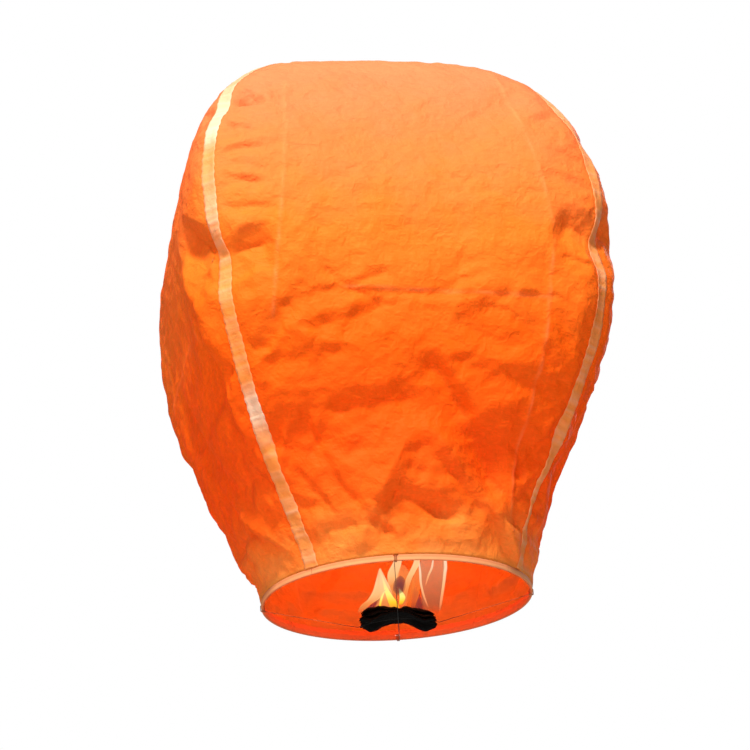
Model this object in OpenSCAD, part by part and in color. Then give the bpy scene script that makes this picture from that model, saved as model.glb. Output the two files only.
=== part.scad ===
// Sky lantern: a paper bag of four gores on a split-bamboo hoop, with two iron wires across the
// mouth that carry a waxed fuel pad. Millimetres, +Z up.
// The origin is the centre of the rim's lower face, with the pad hanging below it.
// The front gore faces -Y, turned a little towards +X.

/* [Bag] */
// Outer diameter of the rim, over the paper
rim_d = 380; // [300:1:460]
// Width of the open bag across its flats, at the belly
belly_w = 612; // [480:1:760]
// Height of the bag from the rim's lower face to the crown
bag_h = 812; // [640:1:1000]
// Height of the belly above the rim's lower face
belly_z = 465; // [340:1:540]
// Angle by which the skirt leaves the rim, from the vertical
skirt_flare = 14; // [6:1:26]
// Length over which the skirt keeps the rim's angle
skirt_pull = 205; // [80:1:240]
// Length over which the belly keeps upright, below its widest line
belly_pull = 175; // [60:1:200]
// Length over which the belly keeps upright, above its widest line
shoulder_pull = 215; // [140:1:280]
// Length over which the crown keeps level, from its centre
crown_pull = 175; // [100:1:230]
// Squareness of the belly's section, where 2 is a circle
squareness = 5.5; // [2:0.1:7]
// Turn of the gores about the bag's axis
gore_turn = 9; // [-45:1:45]
// Thickness of the gores' solids
paper_t = 1.0; // [0.6:0.1:2]

/* [Seams and crown] */
// Width of the strip glued over each seam
strip_w = 22; // [8:1:26]
// Thickness of the strip
strip_t = 0.6; // [0.3:0.1:1]
// Distance from the axis to the flat of the gores' cut tips
tip_r = 14; // [12:1:20]
// Distance from the axis to the flat of the crown patch's edge
patch_r = 42; // [32:1:60]
// Thickness of the crown patch
patch_t = 0.6; // [0.3:0.1:1]
// Glue line between papers
glue_gap = 0.1; // [0.05:0.05:0.2]

/* [Rim] */
// Radial thickness of the bamboo strip
hoop_t = 2.0; // [1.5:0.1:3]
// Height of the bamboo strip
hoop_h = 5.0; // [4:0.5:8]
// Arc of the scarf where the strip's tapered ends lap
scarf_arc = 14; // [8:1:20]
// Angle of the middle of the scarf
scarf_at = 25; // [20:1:30]
// Width of each band that binds the scarf
lap_band_w = 12; // [6:1:14]
// Thickness of each band
lap_band_t = 0.3; // [0.2:0.05:0.35]
// Thickness of the paper folded round the hoop
hem_t = 0.6; // [0.4:0.1:1]
// Height of the hem inside the mouth
hem_h = 16; // [13:1:26]
// Room between the hoop and the paper round it
hem_room = 0.5; // [0.5:0.1:1]

/* [Wires] */
// Diameter of the iron wire
wire_d = 1.0; // [0.6:0.1:1.2]
// Number of turns that tie each wire end to the hoop
wire_turns = 3; // [1:1:4]
// Spacing of the turns along the hoop
wire_pitch = 1.5; // [1.5:0.1:2.5]
// Clearance between the turns and the rim
turn_gap = 0.25; // [0.25:0.05:0.4]
// Depth of the long wire's crown below the rim's lower face
wire_sag = 23.5; // [15:0.5:40]
// Diameter of the twisted prong through the pad
prong_d = 2.0; // [1.5:0.1:3]
// Length of the prong that shows above the pad
prong_free = 12; // [6:1:20]

/* [Fuel pad] */
// Length of the pad, along X
pad_l = 106; // [80:1:120]
// Width of the pad, along Y
pad_w = 56; // [40:1:70]
// Thickness of one layer of the pad
layer_t = 2.2; // [1.5:0.1:3]
// Gap between the pad's layers
layer_gap = 0.1; // [0.05:0.05:0.3]
// Radius of the arch in which the pad lies over the long wire
pad_arch = 190; // [150:1:300]
// Corner radius of the pad
pad_corner = 9; // [4:1:12]
// Clearance between the pad and the wires, and round the prong
pad_gap = 0.3; // [0.2:0.05:0.5]

/* [Hidden] */
$fn = 96;
PAPER = "darkorange";
PALE_PAPER = "moccasin";
DEEP_PAPER = "orangered";
BAMBOO = "burlywood";
IRON = "dimgray";
CHAR = "#1c1816";

rim_r = rim_d / 2;
belly_r = belly_w / 2;
corner = 45; // half the arc of one gore, and the angle of a seam from its flats

// The rim, from the outside in: paper, room, bamboo, room, paper
leg_in_r = rim_r - 2 * hem_t - 2 * hem_room - hoop_t; // inner face of the hem's inner leg
hoop_out_r = rim_r - hem_t - hem_room;
hoop_in_r = hoop_out_r - hoop_t;
hoop_z = hem_t + hem_room; // lower face of the hoop
hem_top = hoop_z + hoop_h + hem_room; // inside height of the fold over the hoop
tuck = 1.7; // height by which the hem's outer leg passes the hoop, so that the wire turns fit below
gore_z = hem_top + tuck; // the gores start here

gore_rows = 26;
gore_columns = 14;
patch_rows = 6;
patch_columns = 48;

// A point on a cubic curve with end points a and d and handles b and c
function cubic(a, b, c, d, t) =
    pow(1 - t, 3) * a + 3 * pow(1 - t, 2) * t * b + 3 * (1 - t) * t * t * c + t * t * t * d;

// The bag's profile as [distance from the axis to the flat, height]: the skirt from 0 to 1, and the
// shoulder and crown from 1 to 2
rim_point = [rim_r, gore_z];
belly_point = [belly_r, belly_z];
crown_point = [0, bag_h];
function profile(t) = t <= 1
    ? cubic(rim_point, rim_point + skirt_pull * [sin(skirt_flare), cos(skirt_flare)],
            belly_point - [0, belly_pull], belly_point, t)
    : cubic(belly_point, belly_point + [0, shoulder_pull],
            crown_point + [crown_pull, 0], crown_point, t - 1);

// The share of the way from a round section at the rim to a square one at the belly
function ease(x) = x <= 0 ? 0 : x >= 1 ? 1 : x * x * (3 - 2 * x);
function power_at(z) = 2 + (squareness - 2) * ease((z - gore_z) / (belly_z - gore_z));

// A point of the bag's surface: t along the profile, and angle from the middle of a gore
function section_r(flat, power, angle) =
    flat * pow(pow(abs(cos(angle)), power) + pow(abs(sin(angle)), power), -1 / power);
function bag_point(t, angle) =
    let (p = profile(t), r = section_r(p[0], power_at(p[1]), angle))
    [r * cos(angle), r * sin(angle), p[1]];

// The outward unit normal there
function unit(v) = v / norm(v);
function bag_normal(t, angle) =
    let (dt = t > 1.9995 ? -0.0005 : 0.0005,
         along = (bag_point(t + dt, angle) - bag_point(t, angle)) / dt,
         across = bag_point(t, angle + 0.02) - bag_point(t, angle - 0.02))
    unit(cross(across, along));
function bag_offset(t, angle, out) = bag_point(t, angle) + out * bag_normal(t, angle);

// The place on the profile at a distance from the axis, near the crown, by halving
function crown_t(flat, low = 1, high = 2, steps = 24) = steps == 0 ? (low + high) / 2
    : let (mid = (low + high) / 2)
      profile(mid)[0] > flat ? crown_t(flat, mid, high, steps - 1) : crown_t(flat, low, mid, steps - 1);
tip_t = crown_t(tip_r);
patch_edge_t = crown_t(patch_r);

// Half the strip's width as an angle about the axis, at the seam
function strip_angle(t) =
    let (p = profile(t)) asin(strip_w / 2 / section_r(p[0], power_at(p[1]), corner));

// A closed solid between two grids of points, low and high, each a list of rows of equal length
module slab_between(low, high) {
    rows = len(low);
    columns = len(low[0]);
    size = rows * columns;
    flat_list = [for (g = [low, high]) for (row = g) for (p = row) p];
    function at(g, i, j) = g * size + i * columns + j;
    faces = [
        for (i = [0 : rows - 2]) for (j = [0 : columns - 2]) each [
            [at(1, i, j), at(1, i + 1, j), at(1, i + 1, j + 1)],
            [at(1, i, j), at(1, i + 1, j + 1), at(1, i, j + 1)],
            [at(0, i, j), at(0, i + 1, j + 1), at(0, i + 1, j)],
            [at(0, i, j), at(0, i, j + 1), at(0, i + 1, j + 1)]],
        for (i = [0 : rows - 2]) each [
            [at(0, i, 0), at(0, i + 1, 0), at(1, i + 1, 0)],
            [at(0, i, 0), at(1, i + 1, 0), at(1, i, 0)],
            [at(0, i, columns - 1), at(1, i + 1, columns - 1), at(0, i + 1, columns - 1)],
            [at(0, i, columns - 1), at(1, i, columns - 1), at(1, i + 1, columns - 1)]],
        for (j = [0 : columns - 2]) each [
            [at(0, 0, j), at(1, 0, j), at(1, 0, j + 1)],
            [at(0, 0, j), at(1, 0, j + 1), at(0, 0, j + 1)],
            [at(0, rows - 1, j), at(1, rows - 1, j + 1), at(1, rows - 1, j)],
            [at(0, rows - 1, j), at(0, rows - 1, j + 1), at(1, rows - 1, j + 1)]]];
    polyhedron(flat_list, faces, convexity = 6);
}

// One gore of paper, between two seams. Its last column each side lies under the seam's strip.
function gore_angles(t) =
    let (inner = corner - strip_angle(t))
    [-corner, for (j = [0 : gore_columns]) inner * (2 * j / gore_columns - 1), corner];
function row_t(i) = tip_t * i / (gore_rows - 1);
module gore(facing) {
    function grid(out) = [for (i = [0 : gore_rows - 1])
        [for (a = gore_angles(row_t(i))) bag_offset(row_t(i), a, out)]];
    rotate(facing) slab_between(grid(-paper_t), grid(0));
}

// One strip of paper glued over a seam
module seam_strip(facing) {
    function grid(out) = [for (i = [0 : gore_rows - 1])
        let (half = strip_angle(row_t(i)))
        [for (a = [-half, 0, half]) bag_offset(row_t(i), corner + a, out)]];
    rotate(facing) slab_between(grid(glue_gap), grid(glue_gap + strip_t));
}

// The patch over the four tips: rings of points round the axis, closed by one at the crown
module patch() {
    low = 2 * glue_gap + strip_t;
    high = low + patch_t;
    function ring(k, out) = [for (j = [0 : patch_columns - 1])
        bag_offset(patch_edge_t + (2 - patch_edge_t) * k / patch_rows, 360 * j / patch_columns, out)];
    size = patch_rows * patch_columns;
    points = [
        for (k = [0 : patch_rows - 1]) each ring(k, low),
        for (k = [0 : patch_rows - 1]) each ring(k, high),
        crown_point_3d + [0, 0, low], crown_point_3d + [0, 0, high]];
    function at(g, k, j) = g * size + k * patch_columns + j % patch_columns;
    last = patch_rows - 1;
    faces = [
        for (k = [0 : last - 1]) for (j = [0 : patch_columns - 1]) each [
            [at(1, k, j), at(1, k + 1, j + 1), at(1, k, j + 1)],
            [at(1, k, j), at(1, k + 1, j), at(1, k + 1, j + 1)],
            [at(0, k, j), at(0, k, j + 1), at(0, k + 1, j + 1)],
            [at(0, k, j), at(0, k + 1, j + 1), at(0, k + 1, j)]],
        for (j = [0 : patch_columns - 1]) each [
            [at(1, last, j), 2 * size + 1, at(1, last, j + 1)],
            [at(0, last, j), at(0, last, j + 1), 2 * size],
            [at(0, 0, j), at(1, 0, j), at(1, 0, j + 1)],
            [at(0, 0, j), at(1, 0, j + 1), at(0, 0, j + 1)]]];
    polyhedron(points, faces, convexity = 4);
}
crown_point_3d = [0, 0, bag_h];

// The bamboo hoop: a ring cut through by a long slanting scarf, so that its tapered ends lap
scarf_steps = 12;
scarf_slit = 0.15;
module hoop() {
    over = 0.4; // how far the cut runs past both faces
    drop = hoop_t + 2 * over;
    function cut(s, side) =
        let (r = hoop_out_r + over - drop * s + side * scarf_slit / 2,
             a = scarf_at + scarf_arc * (s - 0.5))
        [r * cos(a), r * sin(a)];
    steps = [for (i = [0 : scarf_steps]) i / scarf_steps];
    slit = concat([for (s = steps) cut(s, 1)],
                  [for (i = [scarf_steps : -1 : 0]) cut(i / scarf_steps, -1)]);
    difference() {
        translate([0, 0, hoop_z]) rotate_extrude($fn = 180)
            translate([hoop_in_r, 0]) square([hoop_t, hoop_h]);
        translate([0, 0, hoop_z - 1]) linear_extrude(hoop_h + 2) polygon(slit);
    }
}

// A band wound round the hoop at one end of the scarf
module lap_band(side) {
    arc = lap_band_w / hoop_out_r * 180 / PI;
    middle = scarf_at + side * (scarf_arc / 2 - arc / 2);
    grow = glue_gap + lap_band_t;
    rotate(middle - arc / 2) translate([0, 0, hoop_z]) rotate_extrude(angle = arc, $fn = 180)
        difference() {
            translate([hoop_in_r - grow, -grow]) square([hoop_t + 2 * grow, hoop_h + 2 * grow]);
            translate([hoop_in_r - glue_gap, -glue_gap])
                square([hoop_t + 2 * glue_gap, hoop_h + 2 * glue_gap]);
        }
}

// The hem: paper folded under the hoop, with its inner leg glued to the inside of the gore
notch_side = wire_d / 2 + 0.7; // room beside the wire turns in the notch they pass through
wire_angles = [0, 90, 180, 270];
module hem(facing) {
    lean_top = profile(0.08);
    slope = (lean_top[0] - rim_r) / (lean_top[1] - gore_z);
    glued_r = rim_r + (hem_h - gore_z) * slope - paper_t - 0.5; // outer face of the glued leg's top
    section = [
        [leg_in_r, 0], [rim_r, 0], [rim_r, gore_z - glue_gap], [rim_r - hem_t, gore_z - glue_gap],
        [rim_r - hem_t, hem_t], [leg_in_r + hem_t, hem_t], [leg_in_r + hem_t, hem_top],
        [glued_r, hem_h], [glued_r - hem_t, hem_h], [leg_in_r, hem_top + 0.3]];
    gap = 0.1; // angle left open at each seam
    difference() {
        rotate(facing - corner + gap) rotate_extrude(angle = 2 * (corner - gap), $fn = 180)
            polygon(section);
        for (a = wire_angles) rotate(a)
            translate([leg_in_r - 1, -notch_side, hem_top - 0.2])
                cube([rim_r - leg_in_r + 2, wire_turns * wire_pitch + 2 * notch_side, wire_d + 0.8]);
    }
}
// The path of one wire end, along +X: in under the rim, then round the hoop and hem. Each turn has
// four quarter bends of three points, and steps sideways as it goes.
turn_in_r = leg_in_r - turn_gap - wire_d / 2;
turn_out_r = rim_r + turn_gap + wire_d / 2;
turn_low = -turn_gap - wire_d / 2;
turn_high = hem_top + wire_d / 2;
wire_bend = wire_d; // radius of the turns' corners, along the wire's axis
function turn_corner(quarter) = [
    quarter == 0 || quarter == 1 ? turn_out_r - wire_bend : turn_in_r + wire_bend,
    quarter == 0 || quarter == 3 ? turn_low + wire_bend : turn_high - wire_bend];
function turn_point(turn, quarter, angle) =
    let (c = turn_corner(quarter), a = 90 * quarter - 90 + angle)
    [c[0] + wire_bend * cos(a), wire_pitch * (turn + (quarter + angle / 90) / 4), c[1] + wire_bend * sin(a)];
function wire_end() = concat(
    [[turn_in_r, 0, turn_low]],
    [for (turn = [0 : wire_turns - 1]) for (quarter = [0 : turn < wire_turns - 1 ? 3 : 2])
        for (angle = [0, 45, 90]) turn_point(turn, quarter, angle)],
    [[turn_in_r, wire_pitch * (wire_turns - 0.2), hoop_z]]);

// The whole path of a wire: its ends, each turned from +X, with the middle stretch between them
function turned(points, angle) =
    [for (p = points) [p[0] * cos(angle) - p[1] * sin(angle), p[0] * sin(angle) + p[1] * cos(angle), p[2]]];
function backwards(points) = [for (i = [len(points) - 1 : -1 : 0]) points[i]];
function wire_path(middle, angle) = concat(
    backwards(turned(wire_end(), angle + 180)), middle, turned(wire_end(), angle));

// A round wire swept along a path: a ring of points at each, its frame carried from one to the next
wire_sides = 8;
function tangent(path, i) =
    unit(path[min(i + 1, len(path) - 1)] - path[max(i - 1, 0)]);
function square_to(v, t) = unit(v - (v * t) * t);
module swept_wire(path) {
    last = len(path) - 1;
    normals = [for (i = 0, n = square_to([0, 1, 0.3], tangent(path, 0)); i <= last;
                    i = i + 1, n = i <= last ? square_to(n, tangent(path, i)) : n) n];
    points = [for (i = [0 : last])
        let (n = normals[i], b = cross(tangent(path, i), n))
        for (k = [0 : wire_sides - 1])
            path[i] + wire_d / 2 * (cos(360 * k / wire_sides) * n + sin(360 * k / wire_sides) * b)];
    function at(i, k) = i * wire_sides + k % wire_sides;
    faces = [
        [for (k = [0 : wire_sides - 1]) at(0, k)],
        [for (k = [wire_sides - 1 : -1 : 0]) at(last, k)],
        for (i = [0 : last - 1]) for (k = [0 : wire_sides - 1]) each [
            [at(i, k), at(i + 1, k + 1), at(i, k + 1)],
            [at(i, k), at(i + 1, k), at(i + 1, k + 1)]]];
    polyhedron(points, faces, convexity = 8);
}

long_z = -wire_sag; // axis of the long wire at the crossing
short_z = long_z - wire_d - 0.1;
long_arch = pad_arch - pad_gap - wire_d / 2; // radius of the long wire under the pad
wire_past = 4; // how far each wire stays under the pad past its edge
long_reach = asin((pad_l / 2 + wire_past) / long_arch); // half the arc of that stretch
long_steps = 6;

// The long wire is arched under the pad, and the short one runs level under it
module long_wire() swept_wire(wire_path(
    [for (i = [-long_steps : long_steps]) let (a = long_reach * i / long_steps)
        [long_arch * sin(a), 0, long_z - long_arch * (1 - cos(a))]], 0));
module short_wire() swept_wire(wire_path(
    [for (i = [-2 : 2]) [0, (pad_w / 2 + wire_past) * i / 2, short_z]], 90));

// The pad's layers: arched plates about an axis along Y, with round corners and a hole for the prong
pad_base = long_z + wire_d / 2 + pad_gap; // underside of the pad over the crossing
pad_top = pad_base + 3 * layer_t + 2 * layer_gap;
arch_z = pad_base - pad_arch; // height of the arch's axis
module fuel_layer(index) {
    r = pad_arch + index * (layer_t + layer_gap);
    intersection() {
        translate([0, 0, arch_z]) rotate([90, 0, 0]) difference() {
            cylinder(r = r + layer_t, h = pad_w, center = true, $fn = 180);
            cylinder(r = r, h = pad_w + 2, center = true, $fn = 180);
        }
        translate([0, 0, arch_z + r / 2]) linear_extrude(r) difference() {
            pad_outline();
            circle(d = prong_d + 2 * pad_gap, $fn = 48);
        }
    }
}
module pad_outline() {
    for (x = [-1, 1]) for (y = [-1, 1])
        translate([x * (pad_l / 2 - pad_corner), y * (pad_w / 2 - pad_corner)]) circle(pad_corner);
    square([pad_l - 2 * pad_corner, pad_w], center = true);
    square([pad_l, pad_w - 2 * pad_corner], center = true);
}

// The prong stands on the crossing: two wires twisted together, of which one goes on to a round tip
prong_show = 2; // height of the twisted part above the pad
module prong() {
    foot = long_z + wire_d / 2 + 0.05;
    shoulder = pad_top + prong_show;
    top = pad_top + prong_free - wire_d / 2;
    translate([0, 0, foot]) cylinder(d = prong_d, h = shoulder - foot, $fn = 48);
    translate([0, 0, shoulder]) cylinder(d = wire_d, h = top - shoulder, $fn = 48);
    translate([0, 0, top]) sphere(d = wire_d, $fn = 48);
}

front = gore_turn - 90;
right = front + 90;
back = front + 180;
left = front + 270;

module paper_panel_front() color(PAPER) gore(front);
module paper_panel_right() color(PAPER) gore(right);
module paper_panel_back() color(PAPER) gore(back);
module paper_panel_left() color(PAPER) gore(left);
module seam_strip_front_right() color(PALE_PAPER) seam_strip(front);
module seam_strip_back_right() color(PALE_PAPER) seam_strip(right);
module seam_strip_back_left() color(PALE_PAPER) seam_strip(back);
module seam_strip_front_left() color(PALE_PAPER) seam_strip(left);
module crown_patch() color(PALE_PAPER) rotate(front) patch();
module bamboo_hoop() color(BAMBOO) hoop();
module lap_band_first() color(PALE_PAPER) lap_band(-1);
module lap_band_second() color(PALE_PAPER) lap_band(1);
module hem_front() color(DEEP_PAPER) hem(front);
module hem_right() color(DEEP_PAPER) hem(right);
module hem_back() color(DEEP_PAPER) hem(back);
module hem_left() color(DEEP_PAPER) hem(left);
module cross_wire_long() color(IRON) long_wire();
module cross_wire_short() color(IRON) short_wire();
module fuel_prong() color(IRON) prong();
module fuel_layer_bottom() color(CHAR) fuel_layer(0);
module fuel_layer_middle() color(CHAR) fuel_layer(1);
module fuel_layer_top() color(CHAR) fuel_layer(2);

paper_panel_front();
paper_panel_right();
paper_panel_back();
paper_panel_left();
seam_strip_front_right();
seam_strip_back_right();
seam_strip_back_left();
seam_strip_front_left();
crown_patch();
bamboo_hoop();
lap_band_first();
lap_band_second();
hem_front();
hem_right();
hem_back();
hem_left();
cross_wire_long();
cross_wire_short();
fuel_prong();
fuel_layer_bottom();
fuel_layer_middle();
fuel_layer_top();
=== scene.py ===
import bmesh
import bpy
import math
import numpy as np
from mathutils import Matrix, Vector
from mathutils.geometry import delaunay_2d_cdt


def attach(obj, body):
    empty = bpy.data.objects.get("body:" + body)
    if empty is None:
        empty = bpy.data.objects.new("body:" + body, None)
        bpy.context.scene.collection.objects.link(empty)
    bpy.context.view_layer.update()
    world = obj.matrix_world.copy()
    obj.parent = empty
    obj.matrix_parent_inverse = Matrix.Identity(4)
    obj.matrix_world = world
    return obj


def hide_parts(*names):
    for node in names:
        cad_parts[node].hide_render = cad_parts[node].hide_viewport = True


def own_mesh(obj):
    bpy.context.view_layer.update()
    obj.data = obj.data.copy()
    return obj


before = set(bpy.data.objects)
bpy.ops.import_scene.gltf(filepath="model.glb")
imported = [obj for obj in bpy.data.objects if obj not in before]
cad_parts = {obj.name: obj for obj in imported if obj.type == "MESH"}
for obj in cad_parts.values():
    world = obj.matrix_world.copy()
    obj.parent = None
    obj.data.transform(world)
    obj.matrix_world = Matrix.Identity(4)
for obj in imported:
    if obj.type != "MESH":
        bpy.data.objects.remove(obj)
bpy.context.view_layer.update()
print("frame loaded")

mm = 0.001
goreNames = ["front", "right", "back", "left"]  # in turn round the bag, as seen from above
seamNames = ["front_left", "front_right", "back_right", "back_left"]  # the seam before each gore


def addObject(name, data):
    thing = bpy.data.objects.new(name, data)
    bpy.context.scene.collection.objects.link(thing)
    return thing


# Camera

viewFrom = {
    "distance": 3.5,      # metres from the middle of the rim
    "below": 16.97,       # degrees under the rim
    "tilt": 22.2,         # degrees upwards
    "pan": -0.18,
    "roll": -3.65,
    "lens": 119.8,
}


def makeCamera():
    low, tilt, pan, roll = (math.radians(viewFrom[k]) for k in ("below", "tilt", "pan", "roll"))
    ahead = Vector((math.sin(pan) * math.cos(tilt), math.cos(pan) * math.cos(tilt), math.sin(tilt)))
    side = ahead.cross(Vector((0, 0, 1))).normalized()
    over = side.cross(ahead)
    right = math.cos(roll) * side + math.sin(roll) * over
    up = math.cos(roll) * over - math.sin(roll) * side
    place = viewFrom["distance"] * Vector((0, -math.cos(low), -math.sin(low)))
    data = bpy.data.cameras.new("camera")
    data.lens = viewFrom["lens"]
    data.clip_start, data.clip_end = 0.05, 60
    camera = addObject("camera", data)
    turn = Matrix((right, up, -ahead)).transposed().to_4x4()
    camera.matrix_world = Matrix.Translation(place) @ turn
    bpy.context.scene.camera = camera


makeCamera()
print("camera placed")


# Materials

def linear(code):
    parts = [int(code[i:i + 2], 16) / 255 for i in (1, 3, 5)]
    return tuple(c / 12.92 if c < 0.04045 else ((c + 0.055) / 1.055) ** 2.4 for c in parts) + (1,)


def addNode(tree, kind, settings=None, links=None):
    # a link's source is a socket, or a node for its first socket in use
    node = tree.nodes.new(kind if "Node" in kind else "ShaderNode" + kind)
    for name, value in (settings or {}).items():
        if name == "stops":
            ramp = node.color_ramp
            while len(ramp.elements) < len(value):
                ramp.elements.new(0.5)
            for element, (place, colour) in zip(ramp.elements, value):
                element.position = place
                element.color = linear(colour) if isinstance(colour, str) else (*[colour] * 3, 1)
        elif isinstance(name, int) or name in node.inputs:
            node.inputs[name].default_value = value
        else:
            setattr(node, name, value)
    for name, source in (links or {}).items():
        if isinstance(source, bpy.types.Node):
            source = next(socket for socket in source.outputs if socket.enabled)
        tree.links.new(source, node.inputs[name])
    return node


def newMaterial(name):
    material = bpy.data.materials.new(name)
    material.use_nodes = True
    material.node_tree.nodes.clear()
    return material, material.node_tree


def perMetre(size):
    return 1 / (size * mm)  # a noise scale whose features are this many millimetres


def tissuePaper(name, stops, through, paleCrease=0.5, wrinkle=1.0, paleAndHighlight="#ffb070"):
    # Dyed mulberry tissue, flame-proofed: dull, a little fuzzy, with light coming through it.
    # Its colour comes from a ramp by height, deep at the mouth and paler towards the crown: painted light,
    # for a bag lit from above.
    material, tree = newMaterial(name)
    place = addNode(tree, "TexCoord").outputs
    height = addNode(tree, "SeparateXYZ", links={0: place["Object"]})
    share = addNode(tree, "MapRange", {"From Min": 0.0, "From Max": 0.82}, {"Value": height.outputs["Z"]})
    blotch = addNode(tree, "TexNoise", {"Scale": perMetre(55), "Detail": 4, "Roughness": 0.55},
                     {"Vector": place["Object"]})
    drift = addNode(tree, "Math", {"operation": "MULTIPLY_ADD", 1: 0.16, 2: -0.08}, {0: blotch})
    level = addNode(tree, "Math", {"operation": "ADD"}, {0: share, 1: drift})
    dyeAndLight = addNode(tree, "ValToRGB", {"stops": stops}, {"Fac": level})
    # long fibres laid mostly across the gore, drawn three times their real width so that they show
    along = addNode(tree, "Mapping", {"Scale": (perMetre(14), perMetre(3), 1)}, {"Vector": place["UV"]})
    fibre = addNode(tree, "TexNoise", {"Scale": 1.0, "Detail": 5, "Roughness": 0.65, "Distortion": 0.6},
                    {"Vector": along})
    cloud = addNode(tree, "TexNoise", {"Scale": perMetre(7), "Detail": 6, "Roughness": 0.7},
                    {"Vector": place["Object"]})
    mottle = addNode(tree, "Math", {"operation": "ADD"}, {0: fibre, 1: cloud})
    shade = addNode(tree, "MapRange", {"From Min": 0.7, "From Max": 1.3, "To Min": 0.93, "To Max": 1.06},
                    {"Value": mottle})
    toned = addNode(tree, "Mix", {"data_type": "RGBA", "blend_type": "MULTIPLY", 0: 1.0},
                    {6: dyeAndLight, 7: shade})
    # the dye cracks off along a pressed fold, so the fold shows pale, with a painted highlight along it;
    # the same pale colour paints the strips' highlight patches and the hem's pale fold
    crease = addNode(tree, "Attribute", {"attribute_name": "crease"})
    pale = addNode(tree, "Math", {"operation": "MULTIPLY", 1: paleCrease}, {0: crease.outputs["Fac"]})
    base = addNode(tree, "Mix", {"data_type": "RGBA", 7: linear(paleAndHighlight)}, {0: pale, 6: toned})
    # crinkles some 24 and 9 mm apart with flat facets between them, and the felted grain of the sheet
    bent = addNode(tree, "TexNoise", {"Scale": perMetre(28), "Detail": 3}, {"Vector": place["Object"]})
    swayed = addNode(tree, "Mix", {"data_type": "RGBA", "blend_type": "LINEAR_LIGHT", 0: 0.03},
                     {6: place["Object"], 7: bent.outputs["Color"]})
    facets = addNode(tree, "TexVoronoi", {"feature": "F1", "Scale": perMetre(24)}, {"Vector": swayed})
    small = addNode(tree, "TexVoronoi", {"feature": "F2", "Scale": perMetre(9)}, {"Vector": swayed})
    ridges = addNode(tree, "TexNoise", {"noise_type": "RIDGED_MULTIFRACTAL", "Detail": 3,
                                        "Scale": perMetre(62), "Roughness": 0.5, "Gain": 1.2},
                     {"Vector": place["Object"]})
    sharp = addNode(tree, "Bump", {"Strength": 0.55 * wrinkle, "Distance": 2.2 * mm}, {"Height": ridges})
    coarse = addNode(tree, "Bump", {"Strength": 0.5 * wrinkle, "Distance": 3 * mm},
                     {"Height": facets, "Normal": sharp})
    middle = addNode(tree, "Bump", {"Strength": 0.4 * wrinkle, "Distance": 1.1 * mm},
                     {"Height": small, "Normal": coarse})
    fine = addNode(tree, "Bump", {"Strength": 0.5 * wrinkle, "Distance": 0.8 * mm},
                   {"Height": mottle, "Normal": middle})
    rough = addNode(tree, "MapRange", {"From Min": 0.7, "From Max": 1.3, "To Min": 0.78, "To Max": 0.6},
                    {"Value": mottle})
    sheet = addNode(tree, "BsdfPrincipled", {"IOR": 1.5, "Specular IOR Level": 0.14},
                    {"Base Color": base, "Normal": fine, "Roughness": rough})
    lit = addNode(tree, "BsdfTranslucent", links={"Color": base, "Normal": fine})
    both = addNode(tree, "MixShader", {0: through}, {1: sheet, 2: lit})
    addNode(tree, "OutputMaterial", links={"Surface": both})
    return material


# colour ramps from the mouth up to the crown: dye, with painted light in the ramps that grow paler upwards
dyeAndLightRamps = {
    # gore: paler towards the crown, painted light from above, with a pale band just above the rim, a
    # painted highlight on the flared skirt
    "gore": [(0.0, "#fd9c48"), (0.04, "#fb8c34"), (0.09, "#f97018"), (0.18, "#f76006"), (0.35, "#f86c08"),
             (0.52, "#f98224"), (0.72, "#fa8446"), (0.85, "#fb8858"), (1.0, "#fc9464")],
    "inside": [(0.0, "#d08440"), (0.5, "#da9450"), (1.0, "#e4a868")],
    # strip: paler than the gores, partly painted light where the strips face the light, and paler still
    # towards the top, painted light from above
    "strip": [(0.0, "#ffb860"), (0.4, "#ffb254"), (0.62, "#ffba68"), (0.8, "#ffc084"), (1.0, "#ffc694")],
    "hem": [(0.0, "#e0784a"), (1.0, "#e0784a")],
    "edge": [(0.0, "#fdb47c"), (1.0, "#fdb47c")],
}
gorePaper = tissuePaper("dyed_tissue_paper", dyeAndLightRamps["gore"], 0.3, 0.26, 1.5)
insidePaper = tissuePaper("dyed_tissue_paper_inside", dyeAndLightRamps["inside"], 0.34, 0.3)
# the strips' pale colour #fff0da paints their highlight patches
stripPaper = tissuePaper("pale_seam_tissue", dyeAndLightRamps["strip"], 0.5, 1.0, 1.0, "#fff0da")
hemPaper = tissuePaper("deep_hem_tissue", dyeAndLightRamps["hem"], 0.3, 0.85, 0.6, "#fdb880")
bandPaper = tissuePaper("gummed_paper_tape", dyeAndLightRamps["edge"], 0.1, 0, 0.4)


def bareIron():
    # Soft iron wire drawn bare: tinted brown by heat, with rust, and black with soot near the fuel
    material, tree = newMaterial("bare_iron_wire")
    place = addNode(tree, "TexCoord").outputs
    spots = addNode(tree, "TexNoise", {"Scale": perMetre(4), "Detail": 6, "Roughness": 0.7},
                    {"Vector": place["Object"]})
    colour = addNode(tree, "ValToRGB",
                     {"stops": [(0.35, "#b0704a"), (0.55, "#94562e"), (0.7, "#7a4020")]}, {"Fac": spots})
    apart = addNode(tree, "VectorMath", {"operation": "LENGTH"}, {0: place["Object"]})
    soot = addNode(tree, "MapRange",
                   {"From Min": 60 * mm, "From Max": 110 * mm, "To Min": 1.0, "To Max": 0.0},
                   {"Value": apart})
    sooty = addNode(tree, "Mix", {"data_type": "RGBA", 7: linear("#080605")}, {0: soot, 6: colour})
    rough = addNode(tree, "MapRange", {"From Min": 0.35, "From Max": 0.7, "To Min": 0.3, "To Max": 0.6},
                    {"Value": spots})
    bump = addNode(tree, "Bump", {"Strength": 0.3, "Distance": 0.1 * mm}, {"Height": spots})
    shader = addNode(tree, "BsdfPrincipled", {"Metallic": 0.7},
                     {"Base Color": sooty, "Roughness": rough, "Normal": bump})
    addNode(tree, "OutputMaterial", links={"Surface": shader})
    return material


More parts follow.
